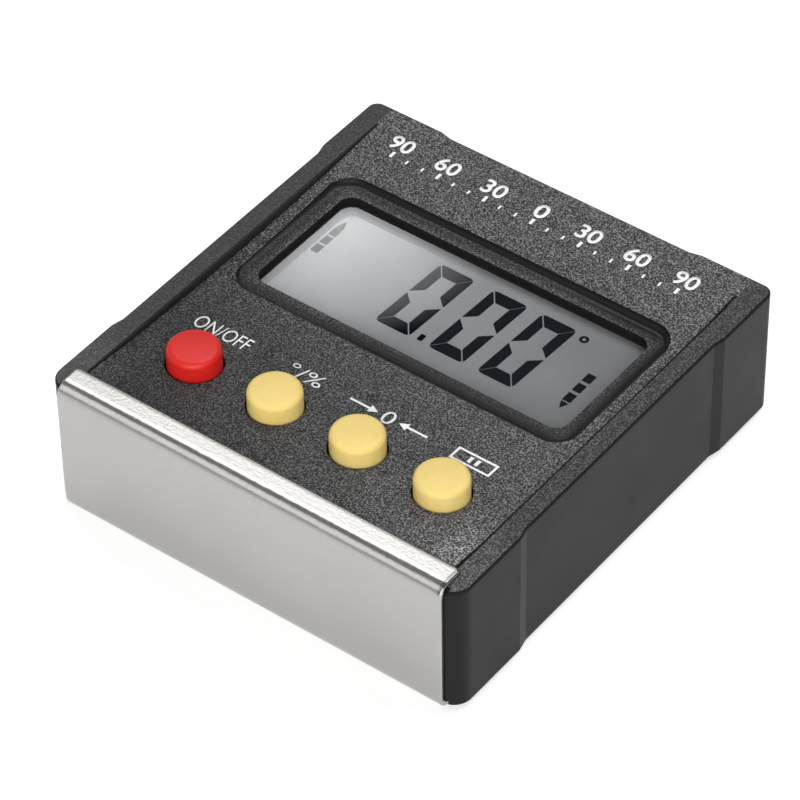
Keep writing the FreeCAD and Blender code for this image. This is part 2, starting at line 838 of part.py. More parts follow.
def back_cover():
    plate = rounded_box(-cover_side, cover_side, flange_depth + lip_gap, cover_back,
                        0, cover_thickness, inner_corner)
    lip = rounded_box(-cover_side, cover_side, shell_front + wall + cover_gap, cover_back,
                      lip_step, cover_thickness, inner_corner)
    hooks = [box(x - hook_width / 2, x + hook_width / 2, cover_back - over_cut, cover_back + hook_reach,
                 cover_thickness - hook_thickness, cover_thickness) for x in both_sides(hook_centre())]
    cover = joined(plate, [lip, battery_tray()] + hooks)
    cuts = tray_room() + door_way()
    for x in both_sides(cover_boss_x):
        for y in cover_boss_ys:
            cuts.append(post(x, y, -over_cut, cover_thickness + over_cut, screw_radius + head_gap))
            cuts.append(post(x, y, -over_cut, cover_seat, head_radius + head_gap))
    return cover.cut(cuts)


def arrow():
    tip = door_back - rib_inset - (thumb_ribs - 1) * rib_pitch - arrow_gap
    points = [Vec(0, tip, -over_cut), Vec(-arrow_half, tip - arrow_length, -over_cut),
              Vec(arrow_half, tip - arrow_length, -over_cut)]
    return prism(points, Vec(0, 0, over_cut + rib_depth))


def battery_door():
    front = door_y + door_gap
    plate = box(-door_half, door_half, front, door_back, 0, door_thickness)
    reach = door_half + tongue_reach
    tongues = box(-reach, reach, front, door_back, tongue_bottom, door_thickness)
    grooves = []
    for i in range(thumb_ribs):
        y = door_back - rib_inset - i * rib_pitch
        grooves.append(box(-rib_length / 2, rib_length / 2, y - rib_width / 2, y + rib_width / 2,
                           -over_cut, rib_depth))
    return joined(plate, [tongues]).cut(grooves + [arrow()])


def screw(x, y, seat, reach):
    """Pan-head screw pointing up, with the underside of its head at seat."""
    shank = post(x, y, seat, seat + reach, screw_radius)
    head = post(x, y, seat - head_height, seat, head_radius)
    head = head.makeFillet(head_round, edges_at_height(head, seat - head_height))
    low = seat - head_height - over_cut
    high = seat - head_height + slot_depth
    cross = [box(x - slot_half, x + slot_half, y - slot_width / 2, y + slot_width / 2, low, high),
             box(x - slot_width / 2, x + slot_width / 2, y - slot_half, y + slot_half, low, high)]
    return joined(shank, [head]).cut(cross)


def cover_screws():
    reach = cover_thickness - cover_seat + cover_screw_grip
    return Part.makeCompound([screw(x, y, cover_seat, reach) for x in both_sides(cover_boss_x)
                              for y in cover_boss_ys])


def board_screws():
    reach = board_thickness + board_screw_grip
    return Part.makeCompound([screw(x, y, board_bottom, reach) for x in both_sides(board_boss_x)
                              for y in board_boss_ys])


# ---- The whole part ------------------------------------------------------------------------------
def place(shape):
    shape.translate(Vec(0, -depth / 2, 0))
    return shape


def all_nodes():
    nodes = {
        "front_housing": front_housing(),
        "back_cover": back_cover(),
        "battery_door": battery_door(),
        "base_channel": base_channel(),
        "base_adhesive": base_adhesive(),
        "display_window": display_window(),
        "window_tape": window_tape(),
        "lcd_front_polariser": cell_sheet(glass_front + contact_ledge, front_glass_top, cell_top),
        "lcd_front_glass": cell_sheet(glass_front, rear_glass_top, front_glass_top),
        "lcd_rear_glass": cell_sheet(glass_front + contact_ledge, reflector_top, rear_glass_top),
        "lcd_reflector": cell_sheet(glass_front + contact_ledge, cell_bottom, reflector_top),
        "lcd_frame": lcd_frame(),
        "zebra_strip": zebra_strip(),
        "circuit_board": circuit_board(),
        "microcontroller": microcontroller(),
        "tilt_sensor": tilt_sensor(),
        "crystal": crystal(),
        "chip_capacitors": chip_capacitors(),
        "chip_resistors": chip_resistors(),
        "rubber_keypad": rubber_keypad(),
        "battery_front": battery(battery_ys[0], -1),
        "battery_rear": battery(battery_ys[1], 1),
        "contact_plus": contact_plus(),
        "contact_minus": contact_minus(),
        "battery_bridge": battery_bridge(),
        "spring_front": spring(battery_ys[0], 1),
        "spring_rear": spring(battery_ys[1], -1),
        "lead_red": lead_from(battery_ys[0], red_hole_x, tab_z),
        "lead_black": lead_from(battery_ys[1], black_hole_x, tab_z - lead_step),
        "cover_screws": cover_screws(),
        "board_screws": board_screws(),
    }
    for name, x in zip(magnet_names, magnet_xs):
        nodes["magnet_" + name] = magnet(x)
    for name, x in zip(key_names, key_xs):
        nodes["key_" + name] = key(x)
        nodes["pill_" + name] = pill(x)
    return nodes


def main():
    os.makedirs("parts", exist_ok=True)
    for name, shape in all_nodes().items():
        place(shape).exportStep("parts/" + name + ".step")


main()
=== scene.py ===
import math

import bmesh
import bpy
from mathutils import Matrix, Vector
from mathutils.bvhtree import BVHTree


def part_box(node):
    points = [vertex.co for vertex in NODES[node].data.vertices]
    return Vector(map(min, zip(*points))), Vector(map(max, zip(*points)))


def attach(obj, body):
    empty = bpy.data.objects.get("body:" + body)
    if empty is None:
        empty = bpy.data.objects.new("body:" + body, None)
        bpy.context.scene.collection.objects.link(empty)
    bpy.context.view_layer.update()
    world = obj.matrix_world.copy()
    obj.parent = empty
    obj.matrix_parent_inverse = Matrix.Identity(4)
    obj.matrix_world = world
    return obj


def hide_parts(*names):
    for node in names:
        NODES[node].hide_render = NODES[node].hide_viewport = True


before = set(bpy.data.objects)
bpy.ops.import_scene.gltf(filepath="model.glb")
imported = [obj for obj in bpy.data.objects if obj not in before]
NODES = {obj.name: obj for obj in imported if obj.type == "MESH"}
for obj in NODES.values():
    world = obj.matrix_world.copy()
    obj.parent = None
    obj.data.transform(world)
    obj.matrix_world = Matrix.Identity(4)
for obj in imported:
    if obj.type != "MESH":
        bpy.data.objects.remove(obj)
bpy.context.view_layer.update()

MM = 0.001
RANGE_SOCKETS = ("From Min", "From Max", "To Min", "To Max")

# ---- Camera: place, turn and lens that give the photograph's view ------------------------------
CAMERA_PLACE = (0.229904, -0.299432, 0.367489)
CAMERA_TURN = (0.810984, 0.012674, 0.646979)
CAMERA_LENS = 195.52

# ---- Light -------------------------------------------------------------------------------------
WORLD_LIGHT = 0.18        # what the surroundings give to the object
WORLD_LOW = 1.0           # how bright they look in it near the horizon
WORLD_HIGH = (0.31, 0.08)  # and higher up: in front of the object and behind it
WORLD_RISE = (0.08, 0.42)  # share of the way up at which the one turns into the other
WORLD_TURN = (-0.1, 0.4)  # share of the way back at which the front turns into the back
SOFTBOX_HEIGHT = 0.80
OVERHEAD_X = (-0.68, 0.50)
OVERHEAD_Y = (0.10, 0.625)
OVERHEAD_GROWTH = (-0.68, 0.10)   # X over which its power grows
OVERHEAD_POWER = (2.8, 4.4)       # at these two places
BEND_POWER = 1.60         # low on the left, for the bright line along the bend of the steel
BEND = ((-0.76, -0.64, 0.42), (-0.20, -1.00, 0.42), (-0.27, -0.62, 0.87), (-0.75, -0.30, 0.87))
FRONT_POWER = 5.4
FRONT = ((0.25, -1.45, 0.05), (1.25, -0.65, 0.05), (0.95, -0.45, 0.85), (0.05, -1.10, 0.85))
GLARE_CENTRE = (-0.580, 0.712)    # small light that shows in the left part of the window
GLARE_POWER = 4.0         # in its middle; it fades out towards its edges
GLARE_RADIUS = 0.066
FLOOR_COLOUR = (0.65, 0.65, 0.65)
FLOOR_GLOW = 0.48         # added where the floor is seen, so that it reads as white
FLOOR_HALF = 4.0
FLOOR_DROP = 0.00005

# ---- Housing: places are object coordinates in metres, unless they say mm ----------------------
OPENING_HALF = (22.75, 9.5)      # mm
OPENING_Y = 7.65                 # mm
RIM_STRIP = (0.15, 1.25)         # mm round the display opening, where the grain fades out
LEDGE_HEIGHT = (0.01819, 0.018185)   # the recess round the opening lies lower than this
LEDGE_REACH = (0.0035, 0.0034)   # and nearer to the opening than this
LEDGE_TURN = (-0.012, 0.0)       # X minus Y where the grained ledge at the left turns smooth
RECESS_SHADE_TURN = (-0.010, 0.004)     # X minus Y where painted shade darkens the recess towards the right
OPENING_WALL = (0.0160, 0.0161, 0.01786, 0.01788)    # heights of the opening's wall, darkened as painted shade
OPENING_WALL_REACH = (0.0002, 0.0001)
# painted shade in the groove beside the rails: from these X the grain gives way to plain dark satin
GROOVE_SHADE_EDGE = (0.02672, 0.02676)
GROOVE_END = 0.02710             # the rails begin further out than this
GROOVE_SHADE_BACK = 0.0285
RAIL_SHADE_LINE = (0.02688, 0.02720)   # painted shade: a dark line along the inner edge of the right rail
RAIL_SHADE_BACK = 0.0265
RAIL_WALL = -0.0260              # the left rail's inner wall lies further left than this
RAIL_TONE = 1.15
BRIM_SHADE = (0.01868, 0.01898)        # heights between which painted shade darkens the outer walls along their top edge
SHEEN_X = (-0.030, 0.030)         # painted sheen: the grain is made paler from the front left to the back right
SHEEN_Y = (-0.032, 0.032)
SHEEN_TONE = (0.66, 1.85)
CORNER_SHEEN_X = (0.008, 0.024)          # and painted sheen makes it paler still near the front right corner
CORNER_SHEEN_Y = (-0.017, -0.026)
CORNER_SHEEN_TONE = 0.6
TIP_SHEEN_X = (0.0225, 0.0245)         # and painted sheen makes it paler at the panel's two front ends
TIP_SHEEN_Y = (-0.018, -0.026)
TIP_SHEEN_TONE = 1.55
OUTER_X = 0.0285                 # walls further out than this are outer walls
OUTER_Y = 0.0305

# ---- Steel: where the flange's dull border begins and where it is full, in metres --------------
STEEL_BACK = (-0.02878, -0.02840)
STEEL_END = (0.02730, 0.02755)

# ---- Display -----------------------------------------------------------------------------------
DIGIT_WIDTH = 5.29
DIGIT_HEIGHT = 12.87
DIGIT_SLANT = 0.56        # the top of a digit is this much further right than its foot
DIGIT_FOOT = 2.25         # world Y of the foot of the digits
DIGIT_LEFTS = (-7.58, 0.35, 7.57)
STROKE_ACROSS = 1.62
STROKE_ALONG = 1.98
STROKE_TAPER = 1.39
SEGMENT_GAP = 0.15
CLOSE_GAP = 0.06          # at the top right and the bottom left corner of a digit
SEGMENT_CORNER = 0.10
SHARP_CORNER = 0.001
DIGIT_CORNER = 0.80
INK_DEPTH = 0.015
FACE_DROP = 0.03          # mm that the face of the display lies below the solid's top
FACE_CORNER = 0.4
DISPLAY_POINT = (-1.38, -0.64, 2.51, 3.66)
POINT_CORNER = 0.14
DEGREE_PLACE = (14.83, 14.26)
DEGREE_RADII = (0.62, 0.24)
ARROW_CORNER = 0.06
DOWN_BARS = ((18.65, 19.83), (8.29, 6.29, 4.31), 1.52)    # ends in X, feet and height
DOWN_HEAD = ((18.68, 4.11), (19.24, 2.93), (19.82, 4.11))
UP_BARS = ((-21.45, -20.34), (7.69, 9.53, 11.31), 1.48)
UP_HEAD = ((-21.45, 12.87), (-20.34, 12.87), (-20.60, 13.61), (-20.89, 14.39), (-21.18, 13.61))

# ---- Print -------------------------------------------------------------------------------------
PRINT_RISE = 0.022        # mm that a print stands above the housing
PRINT_ROOT = 0.03         # mm that it goes down into it
LEGEND_Y = (-13.21, -11.00)       # foot and top of the marks beside the buttons, in mm
LEGEND_LINE = 0.30
LEGEND_WEIGHT = -0.004    # what the letters' outlines grow by
POWER_X = (-23.03, -14.95)
UNIT_X = (-8.90, -4.00)
ZERO_X = (4.85, 6.45)
HOLD_X = (15.1, 20.8)
ARROW_REACH = (1.55, 5.6)         # tip and tail of the printed arrows, from the middle of the 0
ARROW_HEAD = (1.2, 0.62)          # length and half width
PAUSE_BAR = (0.22, 0.5, 0.6)      # half width, way from the middle, space above and below
SCALE_X = (-22.0, 20.6)   # first and last tick of the scale, in mm
SCALE_Y = (24.65, 28.45)  # foot of the ticks and top of the numbers
SCALE_STEPS = 18
SCALE_LONG = 3            # each third tick is long and has a number
SCALE_NUMBERS = ("90", "60", "30", "0", "30", "60", "90")
TICK = (0.13, 0.60)       # half width and length
LONG_TICK = (0.20, 0.95)
NUMBER_FOOT = 1.35        # above the foot of the ticks
NUMBER_HALF = (0.76, 0.14)        # half the width of a number: for each digit, and once
NUMBER_WEIGHT = 0.018


# ---- Node and material helpers -----------------------------------------------------------------
class Shader:
    """One material: its Principled shader and short ways to add texture nodes to it."""

    def __init__(self, name, colour, roughness, metallic=0.0):
        self.material = bpy.data.materials.new(name)
        self.material.use_nodes = True
        self.tree = self.material.node_tree
        self.bsdf = self.tree.nodes["Principled BSDF"]
        self.set("Base Color", (*colour, 1.0))
        self.set("Roughness", roughness)
        self.set("Metallic", metallic)
        self.place = self.node("ShaderNodeTexCoord").outputs["Object"]

    def set(self, socket, value):
        self.bsdf.inputs[socket].default_value = value

    def node(self, kind, **settings):
        made = self.tree.nodes.new(kind)
        for key, value in settings.items():
            setattr(made, key, value)
        return made

    def link(self, source, target):
        self.tree.links.new(source, target)

    def feed(self, socket, source):
        self.link(source, self.bsdf.inputs[socket])

    def math(self, operation, first, second=0.0):
        made = self.node("ShaderNodeMath", operation=operation)
        for index, value in enumerate((first, second)):
            if isinstance(value, (int, float)):
                made.inputs[index].default_value = value
            else:
                self.link(value, made.inputs[index])
        return made.outputs[0]

    def times(self, first, *others):
        for other in others:
            first = self.math("MULTIPLY", first, other)
        return first

    def blend(self, first, share, second, rest):
        """first and second, each multiplied by its share, added up."""
        return self.math("ADD", self.times(first, share), self.times(second, rest))

    def rest_of(self, mask):
        return self.math("SUBTRACT", 1.0, mask)

    def stretched(self, scale):
        made = self.node("ShaderNodeMapping")
        made.inputs["Scale"].default_value = scale
        self.link(self.place, made.inputs["Vector"])
        return made.outputs[0]

    def noise(self, scale, detail=2.0, vector=None, rough=0.5):
        made = self.node("ShaderNodeTexNoise")
        made.inputs["Scale"].default_value = scale
        made.inputs["Detail"].default_value = detail
        made.inputs["Roughness"].default_value = rough
        self.link(vector or self.place, made.inputs["Vector"])
        return made.outputs["Fac"]

    def cells(self, scale):
        made = self.node("ShaderNodeTexVoronoi")
        made.inputs["Scale"].default_value = scale
        self.link(self.place, made.inputs["Vector"])
        return made.outputs["Distance"]

    def axis(self, name):
        made = self.node("ShaderNodeSeparateXYZ")
        self.link(self.place, made.inputs[0])
        return made.outputs[name]

    def normal_axis(self, name):
        made = self.node("ShaderNodeSeparateXYZ")
        self.link(self.node("ShaderNodeTexCoord").outputs["Normal"], made.inputs[0])
        return made.outputs[name]

    def remap(self, source, low, high, to_low, to_high):
        made = self.node("ShaderNodeMapRange")
        self.link(source, made.inputs["Value"])
        for name, value in zip(RANGE_SOCKETS, (low, high, to_low, to_high)):
            made.inputs[name].default_value = value
        return made.outputs[0]

    def ramp(self, source, stops):
        made = self.node("ShaderNodeValToRGB")
        band = made.color_ramp
        while len(band.elements) < len(stops):
            band.elements.new(0.5)
        for element, (position, colour) in zip(band.elements, stops):
            element.position = position
            element.color = (*colour, 1.0)
        self.link(source, made.inputs["Fac"])
        return made.outputs["Color"]

    def mix(self, factor, first, second, blend="MIX"):
        made = self.node("ShaderNodeMix", data_type="RGBA", blend_type=blend)
        for name, value in (("Factor", factor), ("A", first), ("B", second)):
            socket = [item for item in made.inputs if item.name == name and item.enabled][0]
            if isinstance(value, (int, float)):
                socket.default_value = value
            elif isinstance(value, tuple):
                socket.default_value = (*value, 1.0)
            else:
                self.link(value, socket)
        return [item for item in made.outputs if item.enabled][0]

    def bump(self, height, strength, distance):
        made = self.node("ShaderNodeBump")
        made.inputs["Strength"].default_value = strength
        made.inputs["Distance"].default_value = distance
        self.link(height, made.inputs["Height"])
        self.feed("Normal", made.outputs[0])


def speckled(name, colour, roughness, scale, spread=0.25, bump=0.2, depth=0.00003, metallic=0.0):
    """Plain moulded or cast surface: fine grain, faint larger mottling, slightly uneven gloss."""
    shader = Shader(name, colour, roughness, metallic)
    fine = shader.noise(scale, 3.0)
    broad = shader.noise(scale / 14, 2.0)
    mixed = shader.blend(fine, 0.7, broad, 0.3)
    dark = tuple(value * (1 - spread) for value in colour)
    light = tuple(min(1.0, value * (1 + spread)) for value in colour)
    shader.feed("Base Color", shader.ramp(mixed, [(0.30, dark), (0.70, light)]))
    shader.feed("Roughness",
                shader.remap(broad, 0.3, 0.7, roughness * 0.92, min(1.0, roughness * 1.08)))
    shader.bump(fine, bump, depth)
    return shader


def drawn_metal(name, colour, roughness, stretch, scale=9000.0):
    """Metal with fine lines along one axis; stretch is small along the lines."""
    shader = Shader(name, colour, roughness, 1.0)
    lines = shader.noise(scale, 2.0, shader.stretched(stretch))
    broad = shader.noise(260.0, 2.0)
    dark = tuple(value * 0.94 for value in colour)
    light = tuple(min(1.0, value * 1.05) for value in colour)
    mixed = shader.blend(lines, 0.6, broad, 0.4)
    shader.feed("Base Color", shader.ramp(mixed, [(0.3, dark), (0.7, light)]))
    shader.feed("Roughness", shader.remap(lines, 0.3, 0.7, roughness * 0.85, roughness * 1.15))
    shader.bump(lines, 0.12, 0.00001)
    return shader


# ---- Materials of the outside ------------------------------------------------------------------
def opening_distance(shader, x, y):
    """Distance from the display opening, seen from above."""
    off_x = shader.math("ABSOLUTE", x)
    out_x = shader.math("MAXIMUM", shader.math("SUBTRACT", off_x, OPENING_HALF[0] * MM), 0.0)
    off_y = shader.math("ABSOLUTE", shader.math("SUBTRACT", y, OPENING_Y * MM))
    out_y = shader.math("MAXIMUM", shader.math("SUBTRACT", off_y, OPENING_HALF[1] * MM), 0.0)
    return shader.math("SQRT", shader.blend(out_x, out_x, out_y, out_y))


def housing_material():
    """Black ABS: spark-eroded grain on faces that look up, satin on walls and in the recess;
    painted sheen on the grain and painted shade in the recess, beside the rails and on the walls.
    """
    shader = Shader("housing_black", (0.03, 0.03, 0.031), 0.5)
    shader.set("Specular IOR Level", 0.14)
    x, y, height = (shader.axis(name) for name in "XYZ")
    side_x = shader.math("ABSOLUTE", x)
    apart = opening_distance(shader, x, y)
    across = shader.math("SUBTRACT", x, y)
    upward = shader.remap(shader.normal_axis("Z"), 0.90, 0.97, 0.0, 1.0)

    # Masks: the recess round the opening, and painted shade in the groove and line beside the
    # rails, on the opening's wall and along the brim
    dip = shader.times(shader.remap(height, *LEDGE_HEIGHT, 0.0, 1.0),
                       shader.remap(apart, *LEDGE_REACH, 0.0, 1.0))
    away = shader.remap(apart, RIM_STRIP[0] * MM, RIM_STRIP[1] * MM, 0.0, 1.0)
    recess = shader.times(dip, away, shader.remap(across, *LEDGE_TURN, 0.66, 1.0))
    # painted shade: the groove beside the rails loses its grain and takes the plain dark satin
    groove_shade = shader.times(shader.remap(side_x, *GROOVE_SHADE_EDGE, 0.0, 1.0),
                          shader.math("LESS_THAN", side_x, GROOVE_END),
                          shader.math("LESS_THAN", y, GROOVE_SHADE_BACK))
    # painted shade: a dark line along the inner edge of the right rail
    line = shader.times(shader.math("GREATER_THAN", x, RAIL_SHADE_LINE[0]),
                        shader.math("LESS_THAN", x, RAIL_SHADE_LINE[1]),
                        shader.math("LESS_THAN", y, RAIL_SHADE_BACK))
    grained = shader.times(upward, shader.rest_of(recess),
                           shader.rest_of(shader.math("MAXIMUM", groove_shade, line)))
    # painted shade: the wall of the display opening is darkened
    low, low_end, high_end, high = OPENING_WALL
    inside = shader.times(shader.remap(height, high, high_end, 0.0, 1.0),
                          shader.remap(height, low, low_end, 0.0, 1.0),
                          shader.remap(apart, *OPENING_WALL_REACH, 0.0, 1.0))
    outer = shader.math("MAXIMUM", shader.math("GREATER_THAN", side_x, OUTER_X),
                        shader.math("GREATER_THAN", shader.math("ABSOLUTE", y), OUTER_Y))
    # painted shade: a dark band along the top edge of the outer walls
    brim_shade = shader.times(shader.remap(height, *BRIM_SHADE, 0.0, 1.0), shader.rest_of(upward), outer)
    # painted shade on the opening's wall, along the outer walls' top edge and on the right rail's
    # line
    dark = shader.math("MAXIMUM", shader.math("MAXIMUM", inside, brim_shade), line)
    rail = shader.math("GREATER_THAN", side_x, GROOVE_END)
    rail_wall = shader.times(shader.math("GREATER_THAN", shader.normal_axis("X"), 0.5),
                             shader.math("LESS_THAN", x, RAIL_WALL))

    # Satin of the walls
    broad = shader.noise(180.0, 2.0)
    satin = shader.ramp(shader.blend(shader.noise(5200.0, 2.0), 0.3, broad, 0.7),
                        [(0.3, (0.0055, 0.0055, 0.0054)), (0.7, (0.0078, 0.0078, 0.0076))])
    plain = shader.mix(dark, satin, (0.0055, 0.0055, 0.0055))
    plain = shader.mix(rail_wall, plain, (0.021, 0.021, 0.021))

    # Grain of the top, made paler towards the back and the right by painted sheen, and calmer on
    # the rails
    grain = shader.blend(shader.noise(4700.0, rough=0.6), 0.8, shader.cells(4600.0), 0.35)
    sparkle = shader.ramp(grain, [(0.45, (0.006, 0.006, 0.006)), (0.55, (0.022, 0.022, 0.023)),
                                  (0.62, (0.054, 0.054, 0.055)), (0.70, (0.115, 0.115, 0.117))])
    # painted sheen: the grain made paler from the front left to the back right
    left = shader.remap(x, *SHEEN_X, 1.0, 0.0)
    front = shader.remap(y, *SHEEN_Y, 1.0, 0.0)
    painted_sheen = shader.remap(shader.times(left, front), 0.8, 0.0, *SHEEN_TONE)
    # painted sheen: the grain made paler near the front right corner
    corner_sheen = shader.times(shader.remap(x, *CORNER_SHEEN_X, 0.0, 1.0),
                              shader.remap(y, *CORNER_SHEEN_Y, 0.0, 1.0))
    painted_sheen = shader.math("ADD", painted_sheen, shader.times(corner_sheen, CORNER_SHEEN_TONE))
    painted_sheen = shader.mix(rail, painted_sheen, (RAIL_TONE, RAIL_TONE, RAIL_TONE))
    sparkle = shader.mix(1.0, sparkle, painted_sheen, "MULTIPLY")
    calm = shader.times(rail, shader.remap(x, -0.01, 0.01, 0.65, 0.30))
    sparkle = shader.mix(calm, sparkle, (0.041, 0.041, 0.0415))
    # painted sheen: the grain made paler at the panel's two front ends
    tip_sheen = shader.times(shader.remap(side_x, *TIP_SHEEN_X, 0.0, 1.0),
                        shader.remap(y, *TIP_SHEEN_Y, 0.0, 1.0))
    tip_sheen_tone = shader.mix(tip_sheen, (1.0, 1.0, 1.0), (TIP_SHEEN_TONE, TIP_SHEEN_TONE, TIP_SHEEN_TONE))
    sparkle = shader.mix(1.0, sparkle, tip_sheen_tone, "MULTIPLY")
    # painted shade: the recess darkened towards the right
    recess_shade = shader.times(dip, shader.remap(across, *RECESS_SHADE_TURN, 0.08, 0.52))
    sparkle = shader.mix(recess_shade, sparkle, (0.004, 0.004, 0.004))
    shader.feed("Base Color", shader.mix(grained, plain, sparkle))

    rough_top = shader.remap(grain, 0.40, 0.68, 0.42, 0.62)
    rough_side = shader.math("SUBTRACT", shader.remap(broad, 0.3, 0.7, 0.40, 0.46),
                             shader.times(recess, 0.16))
    rough = shader.blend(rough_top, grained, rough_side, shader.rest_of(grained))
    shader.feed("Roughness", shader.math("ADD", rough, shader.times(dark, 0.35)))
    weight = shader.times(shader.remap(grained, 0.0, 1.0, 0.04, 1.0),
                          shader.rest_of(shader.times(calm, 0.9)))
    shader.bump(shader.times(grain, weight), 0.9, 0.00012)
    return shader


def steel_material():
    """Ground stainless sheet: even satin face, faint lines along it, dull sheared edges."""
    shader = Shader("base_steel", (0.42, 0.41, 0.40), 0.26, 1.0)
    lines = shader.noise(7000.0, 2.0, shader.stretched((0.05, 1.0, 1.0)))
    fine = shader.noise(2300.0, 3.0, rough=0.6)
    broad = shader.noise(90.0, 2.0)
    plain = shader.ramp(shader.blend(lines, 0.5, broad, 0.5),
                        [(0.3, (0.395, 0.388, 0.373)), (0.7, (0.425, 0.417, 0.401))])
    back = shader.remap(shader.axis("Y"), *STEEL_BACK, 0.0, 1.0)
    end = shader.remap(shader.axis("X"), *STEEL_END, 0.0, 1.0)
    flat = shader.remap(shader.math("ABSOLUTE", shader.normal_axis("Z")), 0.3, 0.5, 0.0, 1.0)
    border = shader.times(shader.math("MAXIMUM", back, end), flat)
    shader.feed("Base Color", shader.mix(border, plain, (0.19, 0.187, 0.180)))
    shader.feed("Roughness", shader.remap(fine, 0.3, 0.7, 0.17, 0.24))
    shader.bump(shader.blend(lines, 0.3, fine, 0.7), 0.45, 0.00005)
    return shader


def window_material():
    """Hard clear window: nearly all light passes, a little is mirrored at each face."""
    shader = Shader("clear_window", (1.0, 1.0, 1.0), 0.02, 1.0)
    shader.feed("Roughness", shader.remap(shader.noise(300.0, 2.0), 0.3, 0.7, 0.01, 0.03))
    shader.set("Alpha", 0.05)
    return shader


def display_material():
    """Grey face of the display cell with a faint cool unevenness, and a painted highlight that
    makes it paler towards the left.
    """
    shader = Shader("polariser", (0.25, 0.255, 0.265), 0.5)
    shader.set("Specular IOR Level", 0.0)
    broad = shader.noise(120.0, 2.0)
    fine = shader.noise(5000.0, 2.0)
    uneven = shader.blend(broad, 0.8, fine, 0.2)
    # painted highlight: the face is made paler towards the left, where the glare lies
    unevenness_and_highlight = shader.math("ADD", shader.remap(uneven, 0.3, 0.7, 0.46, 0.54),
                       shader.remap(shader.axis("X"), -0.022, 0.022, 0.15, -0.15))
    shader.feed("Base Color", shader.ramp(unevenness_and_highlight, [(0.3, (0.160, 0.165, 0.172)),
                                                 (0.7, (0.335, 0.345, 0.358))]))
    return shader


def ink_material(name, colour, gloss):
    """Printed or shown ink, slightly uneven."""
    shader = Shader(name, colour, 0.5)
    shader.set("Specular IOR Level", gloss)
    fine = shader.noise(6000.0, 3.0)
    dark = tuple(value * 0.86 for value in colour)
    shader.feed("Base Color", shader.ramp(fine, [(0.35, dark), (0.60, colour)]))
    return shader


def key_material(name, colour, deep):
    """Satin moulded button: soft depth of colour and very fine grain."""
    shader = Shader(name, colour, 0.42)
    fine = shader.noise(4200.0, 3.0)
    broad = shader.noise(420.0, 2.0)
    mixed = shader.blend(fine, 0.4, broad, 0.6)
    shader.feed("Base Color", shader.ramp(mixed, [(0.32, deep), (0.62, colour)]))
    shader.feed("Roughness", shader.remap(broad, 0.3, 0.7, 0.38, 0.48))
    shader.set("Specular IOR Level", 0.30)
    shader.set("Subsurface Weight", 0.35)
    shader.set("Subsurface Radius", (0.6, 0.3, 0.1))
    shader.set("Subsurface Scale", 0.002)
    shader.bump(fine, 0.10, 0.00002)
    return shader


# ---- Materials of the inside -------------------------------------------------------------------
def board_material():
    """Green solder mask over copper tracks, bare laminate at the edges."""
    shader = Shader("board_green", (0.02, 0.13, 0.05), 0.28)
    tracks = shader.node("ShaderNodeTexBrick", offset=0.5)
    tracks.inputs["Scale"].default_value = 330.0
    tracks.inputs["Mortar Size"].default_value = 0.035
    tracks.inputs["Color1"].default_value = (0.016, 0.105, 0.040, 1.0)
    tracks.inputs["Color2"].default_value = (0.020, 0.125, 0.048, 1.0)
    tracks.inputs["Mortar"].default_value = (0.045, 0.200, 0.085, 1.0)
    shader.link(shader.place, tracks.inputs["Vector"])
    laminate = shader.math("LESS_THAN", shader.math("ABSOLUTE", shader.normal_axis("Z")), 0.5)
    shader.feed("Base Color", shader.mix(laminate, tracks.outputs["Color"], (0.30, 0.26, 0.14)))
    shader.bump(tracks.outputs["Fac"], 0.2, 0.00003)
    return shader


def elastomer_material():
    """Conductive elastomer: thin dark layers between lighter ones."""
    shader = Shader("elastomer", (0.12, 0.12, 0.12), 0.6)
    wave = shader.node("ShaderNodeTexWave", bands_direction="X")
    wave.inputs["Scale"].default_value = 1600.0
    shader.link(shader.place, wave.inputs["Vector"])
    shader.feed("Base Color", shader.ramp(wave.outputs["Fac"],
                                          [(0.35, (0.02, 0.02, 0.02)), (0.65, (0.20, 0.20, 0.21))]))
    shader.bump(wave.outputs["Fac"], 0.1, 0.00001)
    return shader


def jacket_material(name, cap_end):
    """Printed cell jacket: graphite body, copper band at the positive end, bare metal ends."""
    shader = Shader(name, (0.1, 0.1, 0.11), 0.3, 0.7)
    along = shader.math("MULTIPLY", shader.axis("X"), cap_end)
    band = shader.math("GREATER_THAN", along, 0.0105)
    bare = shader.math("GREATER_THAN", shader.math("ABSOLUTE", shader.normal_axis("X")), 0.6)
    fine = shader.noise(2500.0, 2.0)
    body = shader.ramp(fine, [(0.3, (0.045, 0.048, 0.055)), (0.7, (0.065, 0.068, 0.078))])
    copper = shader.ramp(fine, [(0.3, (0.52, 0.27, 0.14)), (0.7, (0.62, 0.34, 0.19))])
    printed = shader.mix(band, body, copper)
    shader.feed("Base Color", shader.mix(bare, printed, (0.62, 0.61, 0.58)))
    shader.feed("Roughness", shader.remap(fine, 0.3, 0.7, 0.24, 0.34))
    return shader


def cell_glass_material():
    """Thin glass of the display cell."""
    shader = Shader("cell_glass", (0.80, 0.86, 0.84), 0.03)
    shader.set("Transmission Weight", 0.9)
    shader.feed("Roughness", shader.remap(shader.noise(400.0), 0.3, 0.7, 0.02, 0.06))
    return shader


def paint(names, shader):
    for name in names:
        for slot in NODES[name].material_slots:
            slot.material = shader.material


